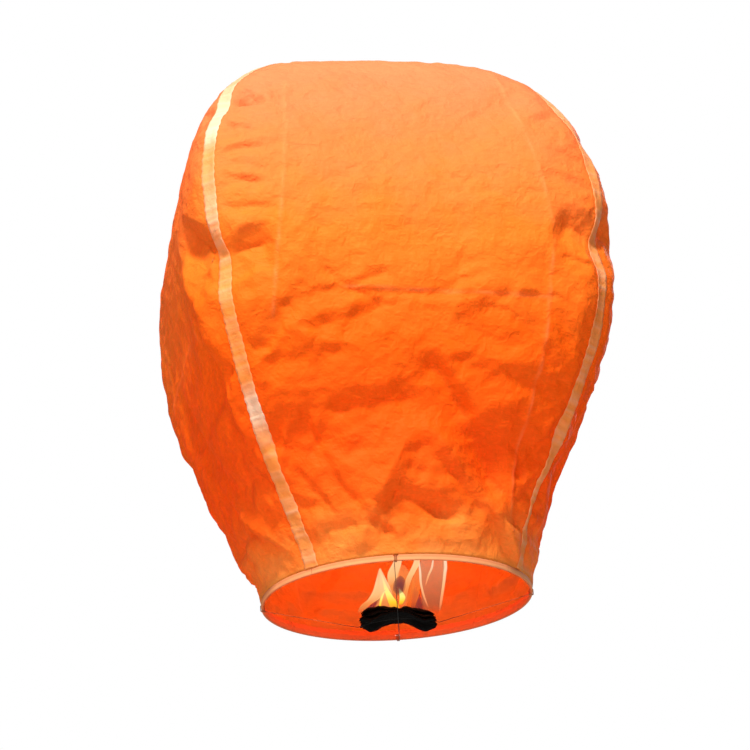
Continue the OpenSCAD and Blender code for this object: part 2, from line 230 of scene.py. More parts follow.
def splitBamboo():
    # Bamboo skin split and scraped to a strip: straw-coloured, waxy, with fibres along its length
    material, tree = newMaterial("split_bamboo")
    place = addNode(tree, "TexCoord").outputs
    layers = addNode(tree, "Mapping", {"Scale": (perMetre(18), perMetre(18), perMetre(0.5))},
                     {"Vector": place["Object"]})
    fibre = addNode(tree, "TexNoise", {"Scale": 1.0, "Detail": 5}, {"Vector": layers})
    colour = addNode(tree, "ValToRGB", {"stops": [(0.3, "#8f6a35"), (0.5, "#c39a58"), (0.7, "#dcbd84")]},
                     {"Fac": fibre})
    bump = addNode(tree, "Bump", {"Strength": 0.4, "Distance": 0.15 * mm}, {"Height": fibre})
    shader = addNode(tree, "BsdfPrincipled", {"Roughness": 0.42, "IOR": 1.5},
                     {"Base Color": colour, "Normal": bump})
    addNode(tree, "OutputMaterial", links={"Surface": shader})
    return material


def charredWaxPaper():
    # Wax-soaked paper burnt to char: near black and matt, with a few waxy glints and a grey ash edge
    material, tree = newMaterial("charred_wax_paper")
    place = addNode(tree, "TexCoord").outputs
    crust = addNode(tree, "TexNoise", {"Scale": perMetre(5), "Detail": 8, "Roughness": 0.7},
                    {"Vector": place["Object"]})
    colour = addNode(tree, "ValToRGB", {"stops": [(0.35, "#020202"), (0.6, "#040303"), (0.8, "#0c0907")]},
                     {"Fac": crust})
    edge = addNode(tree, "Attribute", {"attribute_name": "crease"})
    ash = addNode(tree, "Math", {"operation": "MULTIPLY"}, {0: edge.outputs["Fac"], 1: crust})
    base = addNode(tree, "Mix", {"data_type": "RGBA", 7: linear("#1c1613")}, {0: ash, 6: colour})
    rough = addNode(tree, "MapRange", {"From Min": 0.3, "From Max": 0.7, "To Min": 0.45, "To Max": 0.9},
                    {"Value": crust})
    bump = addNode(tree, "Bump", {"Strength": 0.7, "Distance": 0.8 * mm}, {"Height": crust})
    shader = addNode(tree, "BsdfPrincipled", {"IOR": 1.45, "Specular IOR Level": 0.03},
                     {"Base Color": base, "Roughness": rough, "Normal": bump})
    addNode(tree, "OutputMaterial", links={"Surface": shader})
    return material


def burningWax(name, stops, strength):
    # A wax flame: glowing gas that thins out at its root and tip, where the paper shows through it
    material, tree = newMaterial(name)
    rise = addNode(tree, "Attribute", {"attribute_name": "rise"})
    body = addNode(tree, "Attribute", {"attribute_name": "body"})
    colour = addNode(tree, "ValToRGB", {"stops": stops}, {"Fac": rise.outputs["Fac"]})
    clear = addNode(tree, "BsdfTransparent")
    glow = addNode(tree, "Emission", {"Strength": strength}, {"Color": colour})
    both = addNode(tree, "MixShader", links={0: body.outputs["Fac"], 1: clear, 2: glow})
    addNode(tree, "OutputMaterial", links={"Surface": both})
    return material


iron = bareIron()
bamboo = splitBamboo()
char = charredWaxPaper()
flameColours = {
    "tongue": [(0.0, "#d06a38"), (0.25, "#f5924c"), (0.5, "#fdbe7c"), (1.0, "#fdd09c")],
    "core": [(0.0, "#f07022"), (0.25, "#ffd030"), (0.5, "#fff07c"), (1.0, "#fdd8a0")],
    "veil": [(0.0, "#a84c2e"), (0.5, "#cc7850"), (1.0, "#dc9068")],
    "streak": [(0.0, "#f07038"), (0.4, "#fcb880"), (1.0, "#fee4c8")],
    "soot": [(0.0, "#4a2028"), (0.5, "#70343a"), (1.0, "#a0523c")],
    "ember": [(0.0, "#e85a18"), (0.5, "#f07a34"), (1.0, "#f09050")],
}
flameMaterials = {key: burningWax("flame_" + key, stops, 1.08) for key, stops in flameColours.items()}
print("materials made")


# The bag's shape

bag = {
    "rimRadius": 0.190, "rimHeight": 0.0083,     # where the gores meet the hem
    "bellyHalf": 0.3055, "bellyHeight": 0.476,   # half the width over the flats, and where
    "crown": 0.8165,
    "flare": 13.5,                               # degrees from the vertical at the rim
    "skirtPull": 0.230, "bellyPull": 0.205, "shoulderPull": 0.200, "crownPull": 0.170,
    "squareness": 7.5,                           # of the belly's section; 2 is round
    "turn": 9.0,                                 # degrees
    "lean": 0.0144, "leanBack": 0.0291,          # sideways drift of the slack bag, in metres
    "sway": 0.010,                               # and of its skirt
    "tipHalf": 0.014,                            # half the flat at the gores' cut tips
    "seamDrift": 0.05, "seamSpread": 0.16,       # radians by which the two front seams wander
}


def cubic(a, b, c, d, t):
    return (1 - t) ** 3 * a + 3 * (1 - t) ** 2 * t * b + 3 * (1 - t) * t * t * c + t ** 3 * d


def profile(t):
    # distance from the axis and height: the skirt from 0 to 1, the shoulder and crown from 1 to 2
    t = np.asarray(t, float)
    rim = np.array([bag["rimRadius"], bag["rimHeight"]])
    belly = np.array([bag["bellyHalf"], bag["bellyHeight"]])
    crown = np.array([0, bag["crown"]])
    flare = math.radians(bag["flare"])
    low = cubic(rim, rim + bag["skirtPull"] * np.array([math.sin(flare), math.cos(flare)]),
                belly - [0, bag["bellyPull"]], belly, np.minimum(t, 1)[..., None])
    high = cubic(belly, belly + [0, bag["shoulderPull"]], crown + [bag["crownPull"], 0], crown,
                 np.maximum(t - 1, 0)[..., None])
    return np.where((t <= 1)[..., None], low, high)


def ease(x):
    x = np.clip(x, 0, 1)
    return x * x * (3 - 2 * x)


def bagPoint(t, around):
    # around counts gores, so that a whole number is a seam and a half the middle of a gore
    flat, height = np.moveaxis(profile(t), -1, 0)
    gore = np.floor(around)
    inGore = (around - gore - 0.5) * math.pi / 2
    climb = (height - bag["rimHeight"]) / (bag["bellyHeight"] - bag["rimHeight"])
    power = 2 + (bag["squareness"] - 2) * ease(climb)
    radius = flat * (np.abs(np.cos(inGore)) ** power + np.abs(np.sin(inGore)) ** power) ** (-1 / power)
    nearSeam = [np.maximum(0, 1 - np.abs((around - seam + 2) % 4 - 2)) for seam in (0, 1)]
    shift = (bag["seamDrift"] * np.sin(math.pi * height / bag["crown"]) * nearSeam[0]
             + bag["seamSpread"] * (1 - ease(height / 0.42)) * nearSeam[1])
    angle = math.radians(bag["turn"]) + math.pi / 2 * (around - 1.5) + shift
    up = height / bag["crown"]
    drift = bag["lean"] * up - bag["leanBack"] * up * up
    drift = drift - bag["sway"] * np.exp(-((height - 0.14) / 0.1) ** 2) * ease(height / 0.07)
    return np.stack([radius * np.cos(angle) + drift, radius * np.sin(angle), height], -1)


tipT = np.interp(-bag["tipHalf"], -profile(np.linspace(1, 2, 2001))[:, 0], np.linspace(1, 2, 2001))
manyT = np.linspace(0, tipT, 2001)
steps = np.linalg.norm(np.diff(profile(manyT), axis=0), axis=1)
runT = np.concatenate([[0], np.cumsum(steps)])  # length along the gore's middle
goreLength = runT[-1]


def evenAround(perGore):
    # columns at even spacing across the flat of the belly
    turns = np.linspace(0, 1, 401)
    line = bagPoint(np.full(401, 1.0), turns + 2)
    run = np.concatenate([[0], np.cumsum(np.linalg.norm(np.diff(line, axis=0), axis=1))])
    one = np.interp(np.linspace(0, run[-1], perGore + 1), run, turns)[:-1]
    return np.concatenate([one + k for k in range(4)])


def bagGrid(rows, perGore):
    t = np.interp(np.linspace(0, goreLength, rows), runT, manyT)
    return bagPoint(*np.meshgrid(t, evenAround(perGore), indexing="ij"))


# Slack paper: the bag is cut a little larger below, so a cloth simulation puckers it

slack = {
    "rows": 92, "perGore": 44,       # one point about every 11 mm
    "frames": 24,
    "spareBelow": 0.022, "spareAbove": 0.004,
    "pressure": 0.16,
    "stiffness": 30, "bending": 0.25,
    "seamHold": 0.45,                # how far a seam keeps its place
    "seamStiffness": 0.9, "seamPasses": 30,   # how far the strips iron out the small wrinkles
    "farthest": 0.022,               # metres that a point may move
    "swellingOut": 0.85,             # share of its even swelling that is taken out again
    "calmFrom": (10, 50), "calmTo": 60,   # mm over which it dies out at the rim and at the crown
}


def evenDown(field):
    # each row blended with its neighbours
    padded = np.concatenate([field[:1], field, field[-1:]])
    return (padded[:-2] + 2 * field + padded[2:]) / 4


def evenRound(field):
    return (np.roll(field, 1, 1) + 2 * field + np.roll(field, -1, 1)) / 4


def ringQuads(rows, columns, closed=True, skip=None):
    # the corners of each face of a grid
    i, j = np.meshgrid(np.arange(rows - 1), np.arange(columns if closed else columns - 1), indexing="ij")
    if skip is not None:
        i, j = i[~skip], j[~skip]
    i, j = i.ravel(), j.ravel()
    k = (j + 1) % columns
    return np.stack([i * columns + j, i * columns + k, (i + 1) * columns + k, (i + 1) * columns + j], 1)


def slackBag():
    rows, columns = slack["rows"], 4 * slack["perGore"]
    start = bagGrid(rows, slack["perGore"])
    mesh = bpy.data.meshes.new("slack")
    mesh.from_pydata(start.reshape(-1, 3).tolist(), [], ringQuads(rows, columns).tolist())
    cloth = addObject("slack", mesh)
    held, taut, blown = (cloth.vertex_groups.new(name=n) for n in ("held", "taut", "blown"))
    for row in range(rows):
        line = list(range(row * columns, (row + 1) * columns))
        up = row / (rows - 1)
        taut.add(line, float(ease((up - 0.25) / 0.45)), "REPLACE")
        blown.add(line, 0.25 + 0.75 * up, "REPLACE")
        if row < 2 or row > rows - 3:
            held.add(line, 1.0, "REPLACE")
        else:
            held.add(line[::slack["perGore"]], slack["seamHold"], "REPLACE")
    modifier = cloth.modifiers.new("cloth", "CLOTH")
    settings = modifier.settings
    settings.quality = 5
    settings.mass = 0.02
    settings.air_damping = 2
    settings.tension_stiffness = settings.compression_stiffness = slack["stiffness"]
    settings.shear_stiffness = slack["stiffness"] / 2
    settings.bending_stiffness = slack["bending"]
    settings.vertex_group_mass = "held"
    settings.pin_stiffness = 20
    settings.vertex_group_shrink = "taut"
    settings.shrink_min = -slack["spareBelow"]
    settings.shrink_max = -slack["spareAbove"]
    settings.use_pressure = True
    settings.uniform_pressure_force = slack["pressure"]
    settings.vertex_group_pressure = "blown"
    settings.effector_weights.gravity = 0
    modifier.collision_settings.use_collision = False
    modifier.point_cache.frame_end = slack["frames"]
    for number in range(1, slack["frames"] + 1):
        bpy.context.scene.frame_set(number)
    result = cloth.evaluated_get(bpy.context.evaluated_depsgraph_get()).to_mesh()
    moved = np.zeros(rows * columns * 3)
    result.vertices.foreach_get("co", moved)
    bpy.data.objects.remove(cloth)
    bpy.context.scene.frame_set(1)
    shift = moved.reshape(rows, columns, 3) - start
    broad = shift
    for _ in range(60):  # the even part of the swelling belongs to the bag's own shape
        broad = evenDown(evenRound(broad))
    shift = shift - slack["swellingOut"] * broad
    up = np.arange(rows) * goreLength / (rows - 1) / mm
    low, reach = slack["calmFrom"]
    shift *= (ease((up - low) / reach) * ease((goreLength / mm - up) / slack["calmTo"]))[:, None, None]
    size = np.linalg.norm(shift, axis=-1, keepdims=True)
    return shift * np.minimum(1, slack["farthest"] / np.maximum(size, 1e-9))


def sampleAlong(values, places, wraps):
    # a smooth curve through the values, read at places between them
    base = np.floor(places).astype(int)
    f = (places - base)[:, None, None]
    count = len(values)

    def at(step):
        index = base + step
        return values[index % count if wraps else np.clip(index, 0, count - 1)]

    a, b, c, d = at(-1), at(0), at(1), at(2)
    return b + 0.5 * f * (c - a + f * (2 * a - 5 * b + 4 * c - d + f * (3 * (b - c) + d - a)))


def enlarge(field, rows, columns):
    field = sampleAlong(field, np.linspace(0, len(field) - 1, rows), False)
    across = np.arange(columns) * field.shape[1] / columns
    return sampleAlong(field.swapaxes(0, 1), across, True).swapaxes(0, 1)


# Folds and creases, on the flat gore: (place across from -1 to 1, height in mm) at each end,
# depth inwards in mm, and how far the paper slopes above and below the line

folds = {
    "front": [
        ((-1.06, 396), (-0.70, 414), 22, 26, 70),      # the seam's big dent
        ((-1.02, 350), (-0.74, 372), -5, 12, 20),
        ((-1.04, 650), (-0.80, 668), 14, 12, 34),      # small ones under the shoulder
        ((-1.04, 625), (-0.93, 640), 7, 12, 12),
        ((-0.96, 610), (-0.84, 570), 6, 12, 22),
        ((-0.98, 540), (-0.70, 520), 3, 8, 16),
        ((-0.98, 495), (-0.74, 505), 3, 8, 18),
        ((0.74, 450), (1.06, 418), 20, 28, 50),        # right-hand dent
        ((0.78, 560), (1.04, 540), 6, 10, 26),
        ((0.72, 610), (1.02, 640), 5, 12, 24),
        ((0.70, 520), (0.98, 500), 4, 9, 18),
        ((0.04, 262), (0.34, 176), 15, 14, 70),        # the nose of the drape
        ((0.34, 176), (0.60, 84), 14, 34, 60),
        ((0.06, 172), (0.94, 16), -13, 28, 17),        # ridge down to the rim
        ((-0.56, 190), (0.02, 210), 10, 26, 40),
        ((-0.72, 190), (-0.54, 84), 4, 7, 16),         # crossed creases
        ((-0.56, 100), (-0.20, 16), 4.5, 8, 14),
        ((-0.86, 130), (-0.66, 66), 4, 7, 16),
        ((-0.44, 46), (-0.16, 88), 8, 22, 9),
        ((-0.20, 86), (0.26, 54), 8, 22, 10),
        ((-0.08, 160), (-0.56, 18), -11, 26, 20),      # and its fellow on the other side
        ((-0.93, 662), (-0.74, 654), 8, 5, 18),        # sharp pinches beside the seam
        ((-0.91, 600), (-0.76, 588), 6, 5, 16),
        ((-0.93, 552), (-0.72, 560), 5, 5, 16),
        ((-0.92, 512), (-0.72, 500), 6, 5, 18),
        ((-0.92, 466), (-0.68, 462), 6, 5, 18),
        ((0.74, 398), (0.92, 386), 6, 5, 18),
        ((0.72, 110), (0.98, 196), 6, 10, 18),
        ((-0.10, 30), (0.52, 30), -5, 20, 18),
        ((-0.44, 344), (0.74, 340), 3.6, 6, 12),       # crumpled line over the belly
        ((-0.36, 352), (-0.74, 320), 4, 9, 22),
        ((-0.36, 350), (-0.14, 372), 4, 6, 12),
        ((-0.36, 350), (-0.20, 326), 4, 6, 12),
        ((-0.36, 350), (-0.48, 376), 3.5, 6, 10),
        ((0.10, 344), (0.34, 372), 2.5, 7, 12),
        ((-0.10, 330), (-0.60, 292), 5, 14, 30),
        ((0.30, 330), (0.66, 296), 4, 12, 26),
    ],
    "right": [
        ((-1.06, 418), (-0.84, 470), 20, 28, 50),
        ((-0.62, 250), (-0.2, 120), 12, 30, 50),
        ((0.3, 330), (1.04, 390), 14, 24, 50),
        ((0.1, 150), (0.56, 30), -8, 22, 18),
        ((-0.5, 560), (-1.04, 600), 9, 18, 30),
        ((-0.3, 340), (0.5, 346), 2, 6, 12),
        ((-0.8, 180), (-0.96, 60), 6, 12, 20),
    ],
    "back": [
        ((-1.06, 470), (-0.66, 440), 18, 26, 56),
        ((0.7, 300), (1.06, 330), 14, 22, 44),
        ((-0.3, 240), (0.1, 120), 13, 28, 56),
        ((0.1, 170), (0.8, 24), -9, 22, 18),
        ((-0.8, 150), (-0.34, 30), 6, 12, 18),
        ((0.5, 620), (1.04, 590), 8, 16, 30),
        ((-0.6, 342), (0.6, 346), 2, 6, 12),
    ],
    "left": [
        ((0.66, 470), (1.06, 396), 22, 28, 50),
        ((0.80, 386), (1.06, 350), 9, 22, 12),
        ((0.84, 640), (1.04, 650), 10, 14, 34),
        ((0.62, 440), (0.86, 330), -7, 16, 22),        # ridge beside the seam
        ((0.80, 340), (0.92, 150), -8, 14, 24),
        ((-0.2, 330), (0.4, 150), 13, 30, 50),
        ((0.1, 160), (0.5, 60), 10, 18, 34),
        ((-0.7, 260), (-0.3, 120), 9, 24, 40),
        ((-1.04, 330), (-0.84, 320), 14, 24, 44),
        ((0.4, 110), (0.9, 30), -7, 16, 14),
        ((-0.6, 380), (0.6, 380), 9, 110, 120),
    ],
}
# the pressed folds' pale line is wear with a painted highlight along it
pressedFolds = {  # where the flat-packed lantern was folded: a thin pale line
    "front": [((0.86, 740), (0.71, 430)), ((0.71, 430), (0.74, 60)), ((-0.66, 700), (-0.78, 300)),
              ((-0.42, 350), (0.74, 338))],
    "right": [((-0.7, 720), (-0.7, 40)), ((0.7, 720), (0.7, 40)), ((-0.7, 345), (0.7, 345))],
    "back": [((-0.7, 720), (-0.7, 40)), ((0.7, 720), (0.7, 40)), ((-0.7, 342), (0.7, 346))],
    "left": [((-0.7, 720), (-0.7, 40)), ((0.66, 700), (0.7, 300)), ((-0.7, 346), (0.6, 340))],
}
creasing = {
    "seed": 11,
    # spacing of the crumpled paper's corners and their height, in mm, and the upper bag's share of it
    "facets": ((58, 1.9), (24, 1.05), (13, 0.32)), "calm": 0.35,
    # random creases, in mm
    "count": 150, "length": (24, 140), "height": (0.4, 1.8), "width": (4, 12),
    # short wrinkles on both sides of a seam, and those that run up from the rim
    "puckers": 70, "puckerReach": (30, 100), "puckerHeight": (1.0, 3.4), "puckerWidth": (5, 10),
    "gathers": 34, "gatherReach": (14, 48), "gatherHeight": (0.4, 1.3), "gatherWidth": 6,
    # a pressed fold's ridge, the width of its pale wear and painted highlight, and how evenly it is worn
    "foldRidge": (1.1, 6), "foldWearAndHighlight": 2.2,
}
fineGrid = {"rows": 284, "perGore": 150}  # a point every 3.5 mm or so
rng = np.random.default_rng(creasing["seed"])


def goreColumns(k):
    # the columns of one gore in the whole bag's grid, with the seam on each side
    per = fineGrid["perGore"]
    return np.arange(k * per, (k + 1) * per + 1) % (4 * per)


def flatGore(points):
    # distance across from the gore's middle and along from the rim, for each point of its grid
    across = np.linalg.norm(np.diff(points, axis=1), axis=-1)
    run = np.concatenate([np.zeros((len(points), 1)), np.cumsum(across, axis=1)], axis=1)
    x = run - run[:, -1:] / 2
    y = np.broadcast_to(np.linspace(0, goreLength, len(points))[:, None], x.shape)
    return x / mm, y / mm


def besideLine(x, y, start, end):
    # each point's place along a line and its distance to the upper side of it
    direction = np.subtract(end, start)
    length = np.hypot(*direction)
    direction = direction / length
    normal = np.array([-direction[1], direction[0]])
    normal = normal if normal[1] >= 0 else -normal
    dx, dy = x - start[0], y - start[1]
    return dx * direction[0] + dy * direction[1], dx * normal[0] + dy * normal[1], length


def tent(distance, width, softness=0.05):
    # a fold's section: straight sides that meet in a slightly rounded line
    return np.maximum(0, 1 + softness - np.sqrt((distance / width) ** 2 + softness ** 2))


def crumple(x, y, half, spacing, height):
    # flat facets between scattered corners of random height, as in paper crumpled and pulled out
    width, top = half.max(), y.max()
    px, py = np.meshgrid(np.arange(-width - spacing, width + 2 * spacing, spacing),
                         np.arange(-spacing, top + 2 * spacing, spacing))
    px = px.ravel() + rng.uniform(-0.42, 0.42, px.size) * spacing
    py = py.ravel() + rng.uniform(-0.42, 0.42, py.size) * spacing
    size = rng.normal(0, height, px.size) * (1 - (1 - creasing["calm"]) * ease((py / top - 0.3) / 0.25))
    found = delaunay_2d_cdt([Vector(p) for p in zip(px, py)], [], [], 0, 1e-6)
    source = [ids[0] for ids in found[3]]
    out = np.zeros_like(x)
    for face in found[2]:
        a, b, c = (source[v] for v in face)
        rows = slice(*np.searchsorted(y[:, 0], (min(py[[a, b, c]]), max(py[[a, b, c]]))))
        dx, dy = x[rows] - px[a], y[rows] - py[a]
        bx, by, cx, cy = px[b] - px[a], py[b] - py[a], px[c] - px[a], py[c] - py[a]
        twice = bx * cy - cx * by
        u, v = (dx * cy - dy * cx) / twice, (bx * dy - by * dx) / twice
        inside = (u >= 0) & (v >= 0) & (u + v <= 1)
        level = size[a] + u * (size[b] - size[a]) + v * (size[c] - size[a])
        out[rows][inside] = level[inside]
    return out


def creaseGore(name, points):
    # how far each point of the gore goes outwards, in mm, and how pale its pressed folds are: wear, with a
    # painted highlight along them
    x, y = flatGore(points)
    half = x[:, -1]
    heights = profile(np.interp(np.linspace(0, goreLength, len(points)), runT, manyT))[:, 1] / mm

    def place(end):
        row = np.interp(end[1], heights, np.arange(len(heights)))
        return end[0] * np.interp(row, np.arange(len(half)), half), np.interp(end[1], heights, y[:, 0])

    out = np.zeros_like(x)
    wearAndHighlight = np.zeros_like(x)
    for start, end, depth, above, below in folds[name]:
        run, off, length = besideLine(x, y, place(start), place(end))
        taper = max(18, 0.3 * length)
        ends = ease((run + taper * 0.4) / taper) * ease((length - run + taper * 0.4) / taper)
        out -= depth * ends * tent(off, np.where(off > 0, above, below))
    for start, end in pressedFolds[name]:
        run, off, length = besideLine(x, y, place(start), place(end))
        ends = ease(run / 25) * ease((length - run) / 25)
        rise, width = creasing["foldRidge"]
        out += rise * ends * tent(off, width)
        patchy = 0.65 + 0.35 * np.sin(y / 9 + x / 7)
        wearAndHighlight = np.maximum(wearAndHighlight, ends * np.exp(-(off / creasing["foldWearAndHighlight"]) ** 2) * patchy)
    top = y.max()
    nearSeam = 0.3 + 0.7 * ease((half[:, None] - np.abs(x)) / 16)
    for spacing, height in creasing["facets"]:
        out += crumple(x, y, half, spacing, height) * nearSeam
    for _ in range(creasing["count"]):
        rise = rng.beta(1.1, 1.8)
        middle = np.array([rng.uniform(-0.9, 0.9), rise * top])
        middle[0] *= np.interp(middle[1], y[:, 0], half)
        slope = rng.uniform(-1.2, 1.2)
        reach = rng.uniform(*creasing["length"]) / 2 * np.array([math.cos(slope), math.sin(slope)])
        run, off, length = besideLine(x, y, middle - reach, middle + reach)
        calm = 1 - 0.5 * ease((rise - 0.3) / 0.3)
        size = rng.uniform(*creasing["height"]) * calm * rng.choice([-1, 1])
        ends = ease(2 * run / length) * ease(2 * (length - run) / length)
        out += size * ends * tent(off, rng.uniform(*creasing["width"])) * nearSeam
    topFade = 1 - ease((y / top - 0.88) / 0.09)
    return out * topFade, wearAndHighlight * topFade * ease((half[:, None] - np.abs(x)) / 10)


def puckerSeams(amounts, points):
    # short wrinkles that run into the paper on both sides of each seam
    top = goreLength / mm
    grids = [flatGore(points[:, goreColumns(k)]) for k in range(4)]
    for seam in range(4):
        for _ in range(creasing["puckers"]):
            level = rng.uniform(0.02, 0.9) * top
            size = rng.uniform(*creasing["puckerHeight"]) * rng.choice([-1, 1])
            width = rng.uniform(*creasing["puckerWidth"])
            for gore, side in ((seam - 1) % 4, 1), (seam, -1):
                x, y = grids[gore]
                reach = rng.uniform(*creasing["puckerReach"])
                slope = rng.uniform(-0.7, 0.45)
                away = x[:, -1:] - side * x
                strength = np.maximum(0, 1 - away / reach) ** 1.5 * (0.25 + 0.75 * ease(away / 14))
                amounts[gore] += size * strength * tent(y - level - slope * away, width * (1 + away / 60))
    for gore in range(4):
        x, y = grids[gore]
        for _ in range(creasing["gathers"]):
            at = rng.uniform(-0.97, 0.97) * x[0, -1]
            reach = rng.uniform(*creasing["gatherReach"])
            lean = rng.uniform(-0.5, 0.5)
            size = rng.uniform(*creasing["gatherHeight"]) * rng.choice([-1, 1])
            strength = ease(y / 6) * np.maximum(0, 1 - y / reach)
            amounts[gore] += size * strength * tent(x - at - lean * y, creasing["gatherWidth"])


def paperBag():
    # the whole bag as one grid, closed round, and the wear of its folds
    rows, per = fineGrid["rows"], fineGrid["perGore"]
    columns = 4 * per
    points = bagGrid(rows, per)
    slackShift = enlarge(slackBag(), rows, columns)
    print("slack paper settled")
    amounts, wearsAndHighlights = [], []
    for k, name in enumerate(goreNames):
        out, wearAndHighlight = creaseGore(name, points[:, goreColumns(k)])
        amounts.append(out)
        wearsAndHighlights.append(wearAndHighlight)
    puckerSeams(amounts, points)
    total = np.zeros((rows, columns))
    share = np.zeros(columns)
    for k in range(4):
        np.add.at(total.T, goreColumns(k), amounts[k].T)
        np.add.at(share, goreColumns(k), 1)
    total /= share
    besideSeam = np.minimum(np.arange(columns) % per, -np.arange(columns) % per)
    for _ in range(3):  # the two gores' folds run on into each other over the seam
        total[:, besideSeam < 4] = evenRound(total)[:, besideSeam < 4]
    up = np.arange(rows) * goreLength / (rows - 1) / mm  # glued to the hem below, and under the patch above
    total *= ease((up - 3) / 15)[:, None] * ease((goreLength / mm - up) / 50)[:, None]
    # the strip glued over a seam stiffens it, so only folds wider than it cross it
    stiff = (1 - ease((besideSeam - 3.5) / 5)) * slack["seamStiffness"]
    for field in (total[..., None], slackShift):
        even = field
        for _ in range(slack["seamPasses"]):
            even = evenDown(even)
        field += stiff[:, None] * (even - field)
    surface = points + slackShift
    around = np.roll(surface, -1, 1) - np.roll(surface, 1, 1)
    along = np.gradient(surface, axis=0)
    normals = np.cross(around, along)
    normals /= np.linalg.norm(normals, axis=-1, keepdims=True)
    surface = surface + normals * total[..., None] * mm
    return surface, normals, wearsAndHighlights


surface, surfaceNormals, wearsAndHighlights = paperBag()
print("bag creased")


# Sheets from grids of points

def gridMesh(name, points, material, uv=None, skip=None, closed=False, fields=None):
    mesh = bpy.data.meshes.new(name)
    faces = ringQuads(*points.shape[:2], closed, skip)
    mesh.from_pydata(points.reshape(-1, 3).tolist(), [], faces.tolist())
    for polygon in mesh.polygons:
        polygon.use_smooth = True
    if uv is not None:
        layer = mesh.uv_layers.new(name="flat")
        corners = np.zeros(len(mesh.loops), int)
        mesh.loops.foreach_get("vertex_index", corners)
        layer.data.foreach_set("uv", uv.reshape(-1, 2)[corners].astype(np.float32).ravel())
    for key, values in (fields or {}).items():
        attribute = mesh.attributes.new(key, "FLOAT", "POINT")
        attribute.data.foreach_set("value", np.ascontiguousarray(values, np.float32).ravel())
    mesh.materials.append(material)
    return addObject(name, mesh)


def remesh(piece, change):
    work = bmesh.new()
    work.from_mesh(piece.data)
    work.verts.ensure_lookup_table()
    change(work)
    work.to_mesh(piece.data)
    work.free()


def thicken(piece, thickness, lining=None):
    # a sheet's thickness goes inwards, and its lining is the inner face's paper
    modifier = piece.modifiers.new("thickness", "SOLIDIFY")
    if lining:
        piece.data.materials.append(lining)
        modifier.material_offset = 1
    modifier.thickness = thickness
    modifier.offset = -1
    modifier.use_even_offset = False


def finishPiece(piece, body, nodes):
    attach(piece, body)
    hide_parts(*nodes)


patch = {"half": 0.042, "lift": 0.9 * mm, "thick": 0.25 * mm, "rings": 22, "spokes": 96}
patchT = np.interp(-patch["half"], -profile(np.linspace(1, 2, 2001))[:, 0], np.linspace(1, 2, 2001))


def foldFlat(piece):
    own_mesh(piece)


goreThickness = 0.3 * mm


def makeGores():
    for k, name in enumerate(goreNames):
        points = surface[:, goreColumns(k)]
        x, y = flatGore(points)
        piece = gridMesh("gore_" + name, points, gorePaper, np.stack([x, y], -1) * mm,
                         fields={"crease": wearsAndHighlights[k]})
        thicken(piece, goreThickness, insidePaper)
        finishPiece(piece, "frame", ["paper_panel_" + name])
        foldFlat(piece)


strip = {"half": 0.0108, "rows": 620, "columns": 8, "lift": 0.5 * mm, "thick": 0.2 * mm, "wrinkle": 0.4,
         "gathers": 300}
highlightPatches = {  # painted highlights where the strip catches the light, drawn as pale patches: (height in mm, reach up and down in mm, how pale)
    "front_left": [(625, 60, 0.75), (590, 26, 0.3), (205, 30, 0.9), (700, 60, 0.25), (470, 60, 0.3)],
    "front_right": [],
    "back_right": [(520, 60, 0.4), (180, 30, 0.5)],
    "back_left": [(610, 50, 0.4), (260, 30, 0.5)],
}


def readSurface(row, column):
    # a point on the creased bag's own facets, and the way out of it there
    rows, columns = surface.shape[:2]
    i = np.minimum(np.floor(row).astype(int), rows - 2)
    j = np.floor(column).astype(int)
    a, b = (row - i)[..., None], (column - j)[..., None]
    found = []
    for grid in surface, surfaceNormals:
        low = grid[i, j % columns] * (1 - b) + grid[i, (j + 1) % columns] * b
        high = grid[i + 1, j % columns] * (1 - b) + grid[i + 1, (j + 1) % columns] * b
        found.append(low * (1 - a) + high * a)
    return found


def makeStrips():
    per = fineGrid["perGore"]
    rows = surface.shape[0]
    for k, name in enumerate(seamNames):
        row = np.linspace(0.35, rows - 1.02, strip["rows"])
        seam = surface[:, (k * per) % (4 * per)]
        beside = surface[:, (k * per + 2) % (4 * per)], surface[:, (k * per - 2) % (4 * per)]
        pitch = [np.interp(row, np.arange(rows), np.linalg.norm(b - seam, axis=-1) / 2) for b in beside]
        across = np.linspace(-1, 1, strip["columns"] + 1)[None, :]
        ragged = 1 + 0.05 * np.sin(row * 1.7)[:, None] + 0.01 * rng.standard_normal((len(row), 1))
        reach = strip["half"] * across * ragged
        column = k * per + np.where(across > 0, reach / pitch[0][:, None], reach / pitch[1][:, None])
        points, normals = readSurface(np.repeat(row[:, None], column.shape[1], 1), column)
        ripple = np.zeros(len(row))
        for _ in range(strip["gathers"]):  # across the strip, closer together than the gores' own
            ripple += rng.uniform(0.2, 1) * tent(row - rng.uniform(0, rows), rng.uniform(0.6, 1.6))
        lift = strip["lift"] + strip["wrinkle"] * mm * ripple[:, None] * (1 - 0.5 * across ** 2)
        points = points + normals * lift[..., None]
        run = np.broadcast_to(row[:, None] * goreLength / rows, column.shape)
        uv = np.stack([np.broadcast_to(reach, column.shape), run], -1)
        height = points[:, 4, 2] / mm
        # painted highlights on the strip as pale patches, with its gathers and edges drawn a little paler
        pale = np.zeros(len(row))
        for at, spread, amount in highlightPatches[name]:
            pale += amount * tent(height - at, spread, 0.2)
        stripPaleAndHighlight = np.clip(pale[:, None] + 0.12 * ripple[:, None] + 0.12 * np.abs(across) ** 6, 0, 1)
        piece = gridMesh("strip_" + name, points, stripPaper, uv, fields={"crease": stripPaleAndHighlight})
        thicken(piece, strip["thick"])
        finishPiece(piece, "frame", ["seam_strip_" + name])
        foldFlat(piece)


